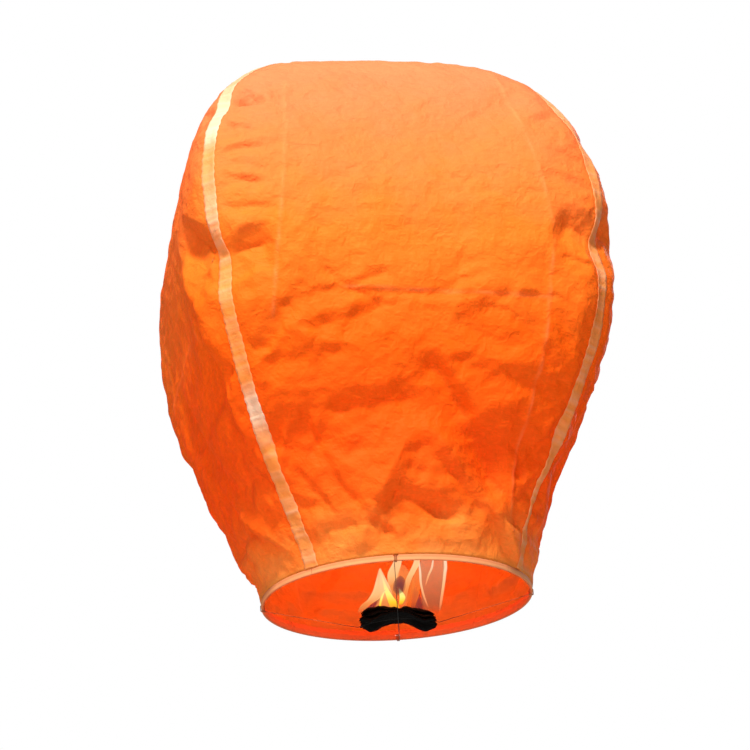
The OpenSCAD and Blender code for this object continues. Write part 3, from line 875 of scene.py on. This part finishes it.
def makeCrownPatch():
    t = np.linspace(patchT, 1.9995, patch["rings"])
    around = np.arange(patch["spokes"]) * 4 / patch["spokes"] + 1e-4
    grid = bagPoint(*np.meshgrid(t, around, indexing="ij"))
    angle = np.arange(patch["spokes"]) * 2 * math.pi / patch["spokes"]
    out = np.linspace(1, 0, patch["rings"])[:, None]
    pucker = (0.35 * np.sin(9 * angle + 1) + 0.25 * np.sin(17 * angle) + 0.2 * np.sin(4 * angle + 2))
    grid[..., 2] += patch["lift"] + mm * out ** 1.3 * (0.45 + pucker[None, :]) * 0.8
    uv = grid[..., :2].copy()
    piece = gridMesh("crown_square", grid, stripPaper, uv, closed=True,
                     fields={"crease": np.broadcast_to(0.5 * out ** 8, grid.shape[:2])})

    def closeTop(work):
        tip = work.verts.new(grid[-1].mean(0))
        work.verts.ensure_lookup_table()
        ring = work.verts[-patch["spokes"] - 1:-1]
        for one, other in zip(ring, ring[1:] + ring[:1]):
            work.faces.new([one, other, tip]).smooth = True

    remesh(piece, closeTop)
    thicken(piece, patch["thick"])
    finishPiece(piece, "crown", ["crown_patch"])


makeGores()
makeStrips()
makeCrownPatch()
print("bag pieces made")


# Hems: the gores' lower edges, folded under the hoop and glued up inside

hem = {
    "outside": 0.18985, "inside": 0.18605, "height": 0.016, "thick": 0.25 * mm,
    "bend": 0.0012, "gap": 0.0018, "columns": 261,      # the gap is in radians, between two hems
    "notchLow": 0.0064, "notchHigh": 0.0081,            # holes for the turns of wire
    "notchFrom": -0.0012, "notchTo": 0.0057,
    "ripple": 0.25,                                     # of the glued edge, mm
    "paleFrom": 0.0028, "paleTo": 0.0072,               # where the fold is drawn pale, along the section
}


def hemSection():
    # from the top of the outer leg, down round the fold and up the inner leg to its glued edge
    out, inner, bend = hem["outside"], hem["inside"], hem["bend"]
    line = [(out, hem["notchHigh"]), (out, hem["notchLow"]), (out, 0.0050), (out, 0.0036), (out, 0.0022)]
    for step in range(1, 5):
        a = math.radians(90 * step / 5)
        line.append((out - bend * (1 - math.cos(a)), bend + 0.0002 - bend * math.sin(a)))
    line += [(out - 0.0014, 0.0001), (inner + 0.0014, 0.0001)]
    for step in range(1, 5):
        a = math.radians(90 * step / 5)
        line.append((inner + bend * (1 - math.sin(a)), bend + 0.0002 - bend * math.cos(a)))
    line += [(inner, 0.0022), (inner, 0.0036), (inner, 0.0050), (inner, hem["notchLow"]),
             (inner + 0.0001, hem["notchHigh"])]
    slope = math.tan(math.radians(bag["flare"]))
    for step in range(1, 8):
        z = hem["notchHigh"] + (hem["height"] - hem["notchHigh"]) * step / 7
        glued = bag["rimRadius"] + (z - bag["rimHeight"]) * slope - 1.4 * mm
        line.append((inner + (glued - inner) * ease(step / 4), z))
    return np.array(line)


def dropLoose(work):
    # the corners left bare in the holes for the wire
    bmesh.ops.delete(work, geom=[v for v in work.verts if not v.link_faces], context="VERTS")


def makeHems():
    section = hemSection()
    run = np.concatenate([[0], np.cumsum(np.linalg.norm(np.diff(section, axis=0), axis=1))])
    cuts = []
    for wire in np.arange(-2, 4) * math.pi / 2:
        cuts += [wire + hem["notchFrom"] / hem["outside"], wire + hem["notchTo"] / hem["outside"]]
    for k, name in enumerate(goreNames):
        middle = math.radians(bag["turn"]) + math.pi / 2 * (k - 1)
        half = math.pi / 4 - hem["gap"]
        angles = np.linspace(middle - half, middle + half, hem["columns"])
        inside = [c for c in cuts if angles[0] < c < angles[-1]]
        angles = np.sort(np.concatenate([angles, inside]))
        gaps = np.concatenate([[1], np.diff(angles)]) > 1e-4
        angles = angles[gaps | np.isin(angles, inside)]
        wave = sum(rng.uniform(0.3, 1) * np.sin(angles * f + rng.uniform(0, 6)) for f in (46, 83, 131, 190))
        fromRim = np.linspace(0, 1, len(section))[:, None]
        loose = hem["ripple"] * mm * wave[None, :] * ease((fromRim - 0.72) / 0.28)
        radius = section[:, :1] + loose - 0.25 * mm * ease((fromRim - 0.72) / 0.28)
        height = section[:, 1:] + 0.4 * mm * np.roll(wave, 9)[None, :] * ease((fromRim - 0.9) / 0.1)
        grid = np.stack([radius * np.cos(angles), radius * np.sin(angles),
                         np.broadcast_to(height, radius.shape)], -1)[:, ::-1]
        mids = (angles[1:] + angles[:-1])[::-1] / 2
        levels = (section[1:, 1] + section[:-1, 1])[:, None] / 2
        window = np.zeros((len(section) - 1, len(mids)), bool)
        for low, high in zip(cuts[::2], cuts[1::2]):
            between = (levels > hem["notchLow"]) & (levels < hem["notchHigh"])
            window |= (mids > low) & (mids < high) & between
        uv = np.stack(np.broadcast_arrays(angles[None, ::-1] * hem["outside"], run[:, None]), -1)
        pale = 0.55 + 0.45 * ease((run[:, None] - hem["paleFrom"]) / 0.001)
        pale = np.broadcast_to(pale * (1 - ease((run[:, None] - hem["paleTo"]) / 0.002)), radius.shape)
        piece = gridMesh("hem_fold_" + name, grid, hemPaper, uv, skip=window, fields={"crease": pale})
        remesh(piece, dropLoose)
        thicken(piece, hem["thick"])
        finishPiece(piece, "frame", ["hem_" + name])


makeHems()
print("hems made")


# Fuel pad: three layers of waxed paper, burnt and drooping over the long wire

pad = {
    "length": 0.106, "width": 0.056, "corner": 7.0,   # corner is the outline's squareness
    "hole": 1.35 * mm, "layer": 2.2 * mm, "gap": 0.1 * mm, "arch": 0.190,
    "rings": 34, "spokes": 220,
    "base": -22.7 * mm,                               # underside over the crossing of the wires
    "droopRight": (10, 7, 2), "droopLeft": (5.5, 0, -6),   # of each layer from the bottom up, mm
    "curlRight": (6, 2, 0), "curlLeft": (7, 2, 0),       # and back up at their ends
    "swelling": 1.5,
}


def raggedEdge(angles):
    # share of the full outline at each angle: torn, with deeper bites at both ends
    edge = np.ones_like(angles)
    for turns in (3, 5, 8, 13, 21, 34, 47):
        edge += 0.028 / turns ** 0.55 * np.sin(turns * angles + rng.uniform(0, 6.28))
    for _ in range(9):
        at = rng.choice([0, math.pi]) + rng.normal(0, 0.35)
        away = np.abs((angles - at + math.pi) % (2 * math.pi) - math.pi)
        edge -= rng.uniform(0.04, 0.13) * np.maximum(0, 1 - away / rng.uniform(0.03, 0.09))
    return edge


def crust(x, y, seed):
    # lumpy height of burnt paper, in mm
    local = np.random.default_rng(seed)
    total = np.zeros_like(x)
    for size in (26, 17, 11, 7, 4.6):
        for _ in range(3):
            a, b, c = local.uniform(0, 6.28, 3)
            total += size * 0.012 * np.sin((x * math.cos(a) + y * math.sin(a)) * 6.28 / size + b
                                           + 0.8 * np.sin(x * 6.28 / size / 1.7 + c))
    return total


def weld(work):
    bmesh.ops.remove_doubles(work, verts=work.verts, dist=1e-6)
    bmesh.ops.recalc_face_normals(work, faces=work.faces)


def makePadLayer(index, name):
    angles = np.linspace(0, 2 * math.pi, pad["spokes"], endpoint=False)
    power = pad["corner"]
    radius = ((np.abs(np.cos(angles)) / (pad["length"] / 2)) ** power
              + (np.abs(np.sin(angles)) / (pad["width"] / 2)) ** power) ** (-1 / power)
    radius *= raggedEdge(angles) * (1 - 0.012 * index)
    share = np.linspace(0, 1, pad["rings"])[:, None] ** 0.85
    r = pad["hole"] + (radius[None, :] - pad["hole"]) * share
    x, y = r * np.cos(angles), r * np.sin(angles)
    low = pad["arch"] + index * (pad["layer"] + pad["gap"])
    sink = low - np.sqrt(low ** 2 - x ** 2)
    out = np.abs(x) / mm
    end = mm * np.where(x > 0, pad["droopRight"][index], pad["droopLeft"][index]) * ease((out - 6) / 30)
    end -= mm * np.where(x > 0, pad["curlRight"][index], pad["curlLeft"][index]) * ease((out - 38) / 14)
    offWire = 1 - np.exp(-(y / (9 * mm)) ** 2) * (index == 0)
    middle = ease((r / mm - 3) / 10)
    base = pad["base"] + index * (pad["layer"] + pad["gap"]) - sink - end * offWire
    shared = crust(x / mm, y / mm, 3) * 0.9 * mm * middle * ease((np.abs(y) / mm + 4) / 12)
    own = crust(x / mm, y / mm, 20 + index) * mm * middle
    swollen = np.exp(-((share - 0.9) / 0.07) ** 2)     # burnt edges swell and curl round
    lobes = 0.7 + 0.5 * np.sin(angles * 9 + index) * np.sin(angles * 4 + 2 * index)
    thick = pad["layer"] * (1 + pad["swelling"] * swollen * lobes) * np.sqrt(1 - 0.9 * share ** 18)
    thick = thick + 0.25 * own
    lower = base + np.maximum(shared, -0.1 * mm if index == 0 else -1)
    top = lower + np.maximum(thick, 0.5 * mm)
    inner = np.stack([x, y, lower + (0.2 * mm if index == 0 else 0)], -1)
    outer = np.stack([x, y, top], -1)
    # one closed skin: under side outwards from the hole, round the edge and back over the top
    skin = np.concatenate([outer, inner[::-1], outer[:1]], 0)
    ashy = np.broadcast_to(share ** 6, x.shape)
    piece = gridMesh(name, skin, char, closed=True,
                     fields={"crease": np.concatenate([ashy, ashy, ashy[:1]], 0)})
    remesh(piece, weld)
    finishPiece(piece, "fuel", ["fuel_layer_" + name.split("_")[-1]])


for index, layer in enumerate(("bottom", "middle", "top")):
    makePadLayer(index, "burnt_layer_" + layer)
print("fuel pad made")


# Geometry Nodes

def nodeTree(name, inputs):
    tree = bpy.data.node_groups.new(name, "GeometryNodeTree")
    tree.interface.new_socket("Geometry", in_out="INPUT", socket_type="NodeSocketGeometry")
    for label, (kind, value) in inputs.items():
        socket = tree.interface.new_socket(label, in_out="INPUT", socket_type="NodeSocket" + kind)
        if value is not None:
            socket.default_value = value
    tree.interface.new_socket("Geometry", in_out="OUTPUT", socket_type="NodeSocketGeometry")
    return tree, tree.nodes.new("NodeGroupInput")


def bake(name, tree, values):
    # runs a tree on a holder and keeps its result as a plain mesh
    holder = addObject(name + "_holder", bpy.data.meshes.new(name))
    modifier = holder.modifiers.new("nodes", "NODES")
    modifier.node_group = tree
    for item in tree.interface.items_tree:
        if item.in_out == "INPUT" and item.name in values:
            modifier[item.identifier] = values[item.name]
    graph = bpy.context.evaluated_depsgraph_get()
    mesh = bpy.data.meshes.new_from_object(holder.evaluated_get(graph), depsgraph=graph)
    mesh.name = name
    bpy.data.objects.remove(holder)
    return addObject(name, mesh)


prong = {"foot": -22.9 * mm, "twisted": 8.9 * mm, "tip": 10.0 * mm, "strand": 0.5 * mm, "turns": 2.5}


def prongTree():
    # two strands wound round each other, of which one runs on straight to the tip
    tree, given = nodeTree("twistedWire", {
        "Strand Radius": ("Float", 0.5 * mm), "Twisted Height": ("Float", 0.009), "Turns": ("Float", 2.5),
        "Foot": ("Float", 0.0), "Tip Length": ("Float", 0.01), "Material": ("Material", None)})
    socket = given.outputs
    coil = addNode(tree, "GeometryNodeCurveSpiral", {"Resolution": 40},
                   {"Rotations": socket["Turns"], "Start Radius": socket["Strand Radius"],
                    "End Radius": socket["Strand Radius"], "Height": socket["Twisted Height"]})
    foot = addNode(tree, "CombineXYZ", links={"Z": socket["Foot"]})
    first = addNode(tree, "GeometryNodeTransform", links={"Geometry": coil, "Translation": foot})
    second = addNode(tree, "GeometryNodeTransform", {"Rotation": (0, 0, math.pi)}, {"Geometry": first})
    shoulder = addNode(tree, "Math", {"operation": "ADD"},
                       {0: socket["Foot"], 1: socket["Twisted Height"]})
    end = addNode(tree, "Math", {"operation": "ADD"}, {0: shoulder, 1: socket["Tip Length"]})
    side = addNode(tree, "Math", {"operation": "MULTIPLY", 1: -1.0}, {0: socket["Strand Radius"]})
    low = addNode(tree, "CombineXYZ", links={"X": side, "Z": shoulder})
    high = addNode(tree, "CombineXYZ", links={"Z": end})
    tip = addNode(tree, "GeometryNodeCurvePrimitiveLine", links={"Start": low, "End": high})
    wires = addNode(tree, "GeometryNodeJoinGeometry")
    for piece in (tip, second, first):
        tree.links.new(piece.outputs[0], wires.inputs["Geometry"])
    ring = addNode(tree, "GeometryNodeCurvePrimitiveCircle", {"Resolution": 12},
                   {"Radius": socket["Strand Radius"]})
    swept = addNode(tree, "GeometryNodeCurveToMesh", {"Fill Caps": True},
                    {"Curve": wires, "Profile Curve": ring})
    real = addNode(tree, "GeometryNodeRealizeInstances", links={"Geometry": swept})
    dressed = addNode(tree, "GeometryNodeSetMaterial",
                      links={"Geometry": real, "Material": socket["Material"]})
    addNode(tree, "NodeGroupOutput", links={"Geometry": dressed})
    return tree


def makeProng():
    piece = bake("twisted_prong", prongTree(), {
        "Strand Radius": prong["strand"], "Twisted Height": prong["twisted"], "Turns": prong["turns"],
        "Foot": prong["foot"], "Tip Length": prong["tip"], "Material": iron})
    finishPiece(piece, "frame", ["fuel_prong"])


makeProng()
print("prong made")


# Flames: tongues of burning wax, each a flattened closed shell along its own line

flames = [
    # name, kind, depth y, [(x, z, half width), ...] from root to tip in mm, and how full it is in the
    # middle and at the outer edges, which look brighter because a sheet of flame is seen along itself
    ("flame_root", "ember", 2, [(-50, -19, 3), (-20, -16, 16), (-4, 2, 22), (0, 18, 14),
                                (2, 34, 2)], 0.45, 0.3),
    ("flame_left_curl", "tongue", -5, [(-53, -15, 4), (-45, -3, 6), (-33, 5, 8), (-25, 17, 8), (-22, 31, 6),
                                       (-21, 50, 1)], 0.75, 1.0),
    ("flame_left", "tongue", 0, [(-18, -16, 18), (-16, 2, 12), (-15, 17, 8.5), (-17, 31, 5.5),
                                 (-21, 52, 0.8)], 0.82, 0.9),
    ("flame_left_heart", "core", -8, [(-2, -15, 6), (-6, -2, 6), (-11, 10, 4), (-15, 22, 2.4),
                                      (-19, 40, 0.5)], 0.97, 0.8),
    ("flame_left_lick", "core", -10, [(-26, -14, 1.2), (-21, 5, 1.6), (-15, 17, 0.6)], 0.8, 0.5),
    ("flame_small", "core", -11, [(4, -8, 2), (8, 4, 4), (4, 17, 0.6)], 0.95, 0.8),
    ("flame_hook", "tongue", 4, [(-4, 10, 2), (-4, 22, 5), (-4, 34, 7), (-2, 46, 8), (4, 60, 6),
                                 (12, 84, 1)], 0.8, 0.95),
    ("flame_smoke", "soot", -10, [(5, 6, 2), (4, 14, 8), (5, 22, 9), (6, 30, 7), (7, 36, 1)], 0.7, 0.15),
    ("flame_halo", "ember", 5, [(10, 0, 5), (14, 20, 12), (12, 36, 12), (10, 56, 4)], 0.6, 0.5),
    ("flame_right", "tongue", -9, [(9, -14, 2), (12, 10, 3.4), (18, 29, 4), (25, 42, 4.4), (31, 54, 4.4),
                                   (35, 78, 0.8)], 0.85, 0.95),
    ("flame_strands", "ember", 0, [(18, -14, 6), (23, 5, 7), (28, 22, 6), (30, 40, 4),
                                   (32, 66, 1)], 0.5, 0.7),
    ("flame_line_low", "streak", -6, [(44, -15, 0.8), (38, 5, 1.5), (35, 24, 1.5), (35, 41, 1.5),
                                      (34, 66, 0.5)], 0.8, 0.5),
    ("flame_line_high", "streak", -8, [(40, 16, 0.5), (46, 33, 1.5), (52, 46, 1.6),
                                       (56, 66, 0.5)], 0.8, 0.5),
    ("flame_veil", "veil", 2, [(48, -21, 8), (49, 0, 14), (51, 18, 16), (53, 36, 18), (54, 53, 19),
                               (54, 92, 4)], 0.55, 0.8),
    # a dark sheet painted as shade under the left curl, drawn in the soot colours
    ("flame_shadow", "soot", -4, [(-50, -17, 3), (-42, -9, 5), (-33, -3, 5), (-26, 6, 3),
                                  (-23, 14, 0.5)], 0.55, 0.1),
    ("flame_gap", "soot", 3, [(28, -16, 10), (28, -4, 9), (27, 8, 6), (27, 22, 2)], 0.5, 0.1),
    ("flame_veil_edge", "streak", -3, [(58, -20, 1), (62, 0, 1.8), (66, 19, 2), (69, 36, 2.4),
                                       (71, 51, 2.4), (72, 84, 0.6)], 0.95, 0.8),
]
flameShape = {"rings": 40, "sides": 28, "flatness": 0.6, "deepest": 10}


def capEnds(work):
    sides = flameShape["sides"]
    work.faces.new(work.verts[:sides][::-1])
    work.faces.new(work.verts[-sides:])
    bmesh.ops.recalc_face_normals(work, faces=work.faces)


def tongue(name, kind, depth, line, middle, edge):
    rings, sides = flameShape["rings"], flameShape["sides"]
    spread = np.linspace(0, len(line) - 1, rings)
    shape = sampleAlong(np.array(line, float)[:, None, :], spread, False)[:, 0]
    h = np.linspace(0, 1, rings)[:, None]
    a = np.arange(sides) * 2 * math.pi / sides
    half = np.maximum(shape[:, 2:], 0.15) * np.sqrt(1 - (1 - np.minimum(h / 0.04, 1)) ** 2 * 0.9)
    half = half * (1 - 0.9 * np.maximum(0, h - 0.97) / 0.03)
    x = shape[:, :1] + half * np.cos(a)
    y = depth + np.minimum(half * flameShape["flatness"], flameShape["deepest"]) * np.sin(a)
    z = np.broadcast_to(shape[:, 1:2], x.shape)
    points = np.stack([x, y, z], -1) * mm
    outer = np.abs(np.cos(a)) ** 3
    strength = (middle * (1 - outer) + edge * outer) * ease(h / 0.2) * (1 - 0.6 * ease((h - 0.7) / 0.3))
    piece = gridMesh(name, points, flameMaterials[kind], closed=True,
                     fields={"rise": np.broadcast_to(h, x.shape), "body": strength})
    remesh(piece, capEnds)
    return piece


def makeFlames():
    for name, kind, depth, line, middle, edge in flames:
        piece = tongue(name, kind, depth, line, middle, edge)
        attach(piece, "fuel")
        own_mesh(piece)


makeFlames()
print("flames lit")


# Finishes of the pieces that stay as the frame has them

def dressFrame():
    finishes = {"bamboo_hoop": bamboo, "lap_band_first": bandPaper, "lap_band_second": bandPaper,
                "cross_wire_long": iron, "cross_wire_short": iron}
    for name, material in finishes.items():
        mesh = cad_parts[name].data
        mesh.materials.clear()
        mesh.materials.append(material)


dressFrame()


# Stage and light

stage = {"floor": -1.6, "radius": 4.5, "fadeFrom": 0.5, "fadeTo": 4.2, "colour": "#f4f3f1", "ambient": 0.18}


def makeStage():
    material, tree = newMaterial("painted_floor")  # matt emulsion, faintly uneven from the roller
    place = addNode(tree, "TexCoord").outputs
    roller = addNode(tree, "TexNoise", {"Scale": perMetre(12), "Detail": 3}, {"Vector": place["Object"]})
    bump = addNode(tree, "Bump", {"Strength": 0.1, "Distance": 0.4 * mm}, {"Height": roller})
    shader = addNode(tree, "BsdfPrincipled", {"Base Color": linear(stage["colour"]), "Roughness": 0.8},
                     {"Normal": bump})
    away = addNode(tree, "VectorMath", {"operation": "LENGTH"}, {0: place["Object"]})
    fade = addNode(tree, "MapRange", {"interpolation_type": "SMOOTHSTEP", "To Min": 1.0, "To Max": 0.0,
                                      "From Min": stage["fadeFrom"], "From Max": stage["fadeTo"]},
                   {"Value": away})
    clear = addNode(tree, "BsdfTransparent")
    both = addNode(tree, "MixShader", links={0: fade, 1: clear, 2: shader})
    addNode(tree, "OutputMaterial", links={"Surface": both})
    sides = 96
    turns = [2 * math.pi * k / sides for k in range(sides)]
    mesh = bpy.data.meshes.new("floor")
    mesh.from_pydata([(stage["radius"] * math.cos(a), stage["radius"] * math.sin(a), 0) for a in turns], [],
                     [tuple(range(sides))])
    mesh.materials.append(material)
    floor = addObject("floor", mesh)
    floor.location.z = stage["floor"]


def makeWorld():
    # white all round: full white to look at, softer as a light, so that the paper keeps its shading
    world = bpy.data.worlds.new("studio")
    world.use_nodes = True
    world.node_tree.nodes.clear()
    tree = world.node_tree
    ray = addNode(tree, "LightPath")
    level = addNode(tree, "MapRange", {"To Min": stage["ambient"], "To Max": 1.0},
                    {"Value": ray.outputs["Is Camera Ray"]})
    back = addNode(tree, "Background", {"Color": (1, 1, 1, 1)}, {"Strength": level})
    addNode(tree, "OutputWorld", links={"Surface": back})
    bpy.context.scene.world = world


lamps = [
    # name, place, watts, size in metres, colour
    ("key", (-0.3, -2.9, 3.1), 280, 0.5, "#fff6ea"),
    ("fill", (0.6, -3.8, -0.2), 44, 1.2, "#fff0e6"),
    ("side", (-3.2, -1.6, 0.3), 42, 1.4, "#ffdcc0"),
    ("back", (1.6, 3.0, 2.2), 85, 2.0, "#ffffff"),
]
flameLight = {"place": (0, 0, 0.3), "watts": 5.4, "size": 0.08, "colour": "#ff8c40"}  # on the paper, inside


def makeLights():
    aim = Vector((0, 0, 0.45))
    for name, place, watts, size, colour in lamps:
        data = bpy.data.lights.new(name, "AREA")
        data.energy, data.size, data.color = watts, size, linear(colour)[:3]
        lamp = addObject(name, data)
        lamp.location = place
        lamp.rotation_mode = "QUATERNION"
        lamp.rotation_quaternion = (aim - Vector(place)).to_track_quat("-Z", "Y")
    data = bpy.data.lights.new("glow", "POINT")
    data.energy, data.shadow_soft_size = flameLight["watts"], flameLight["size"]
    data.color = linear(flameLight["colour"])[:3]
    addObject("glow", data).location = flameLight["place"]


makeStage()
makeWorld()
makeLights()
bpy.context.scene.view_settings.view_transform = "Standard"
print("stage and lights set")
